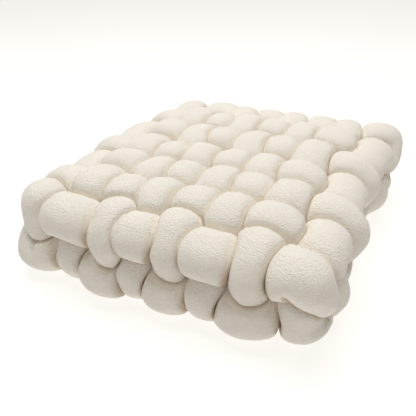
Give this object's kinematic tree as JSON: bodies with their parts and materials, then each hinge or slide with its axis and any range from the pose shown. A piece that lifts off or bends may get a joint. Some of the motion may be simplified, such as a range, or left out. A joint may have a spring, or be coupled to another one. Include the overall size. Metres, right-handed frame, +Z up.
{
  "type": "knot cushion",
  "caption": "Thick square floor cushion woven from stuffed plush tubes that loop round its edges.",
  "frame": {"origin": "middle of the bounding box, on the surface the cushion lies on", "axes": "+Z up out of the lying cushion, X along the row strands, Y along the column strands"},
  "size_m": [0.4785, 0.5413, 0.1445],
  "materials": {
    "row_strand_1_plush": "short cream plush",
    "row_strand_2_plush": "short cream plush",
    "row_strand_3_plush": "short cream plush",
    "row_strand_4_plush": "short cream plush",
    "row_strand_5_plush": "short cream plush",
    "row_strand_6_plush": "short cream plush",
    "row_strand_7_plush": "short cream plush",
    "column_strand_1_plush": "short cream plush",
    "column_strand_2_plush": "short cream plush",
    "column_strand_3_plush": "short cream plush",
    "column_strand_4_plush": "short cream plush",
    "column_strand_5_plush": "short cream plush",
    "column_strand_6_plush": "short cream plush",
    "column_strand_7_plush": "short cream plush",
    "column_strand_8_plush": "short cream plush"
  },
  "bodies": {
    "root": {"row_strand_1": "row_strand_1_plush", "row_strand_2": "row_strand_2_plush", "row_strand_3": "row_strand_3_plush", "row_strand_4": "row_strand_4_plush", "row_strand_5": "row_strand_5_plush", "row_strand_6": "row_strand_6_plush", "row_strand_7": "row_strand_7_plush", "column_strand_1": "column_strand_1_plush", "column_strand_2": "column_strand_2_plush", "column_strand_3": "column_strand_3_plush", "column_strand_4": "column_strand_4_plush", "column_strand_5": "column_strand_5_plush", "column_strand_6": "column_strand_6_plush", "column_strand_7": "column_strand_7_plush", "column_strand_8": "column_strand_8_plush"}
  },
  "joints": []
}
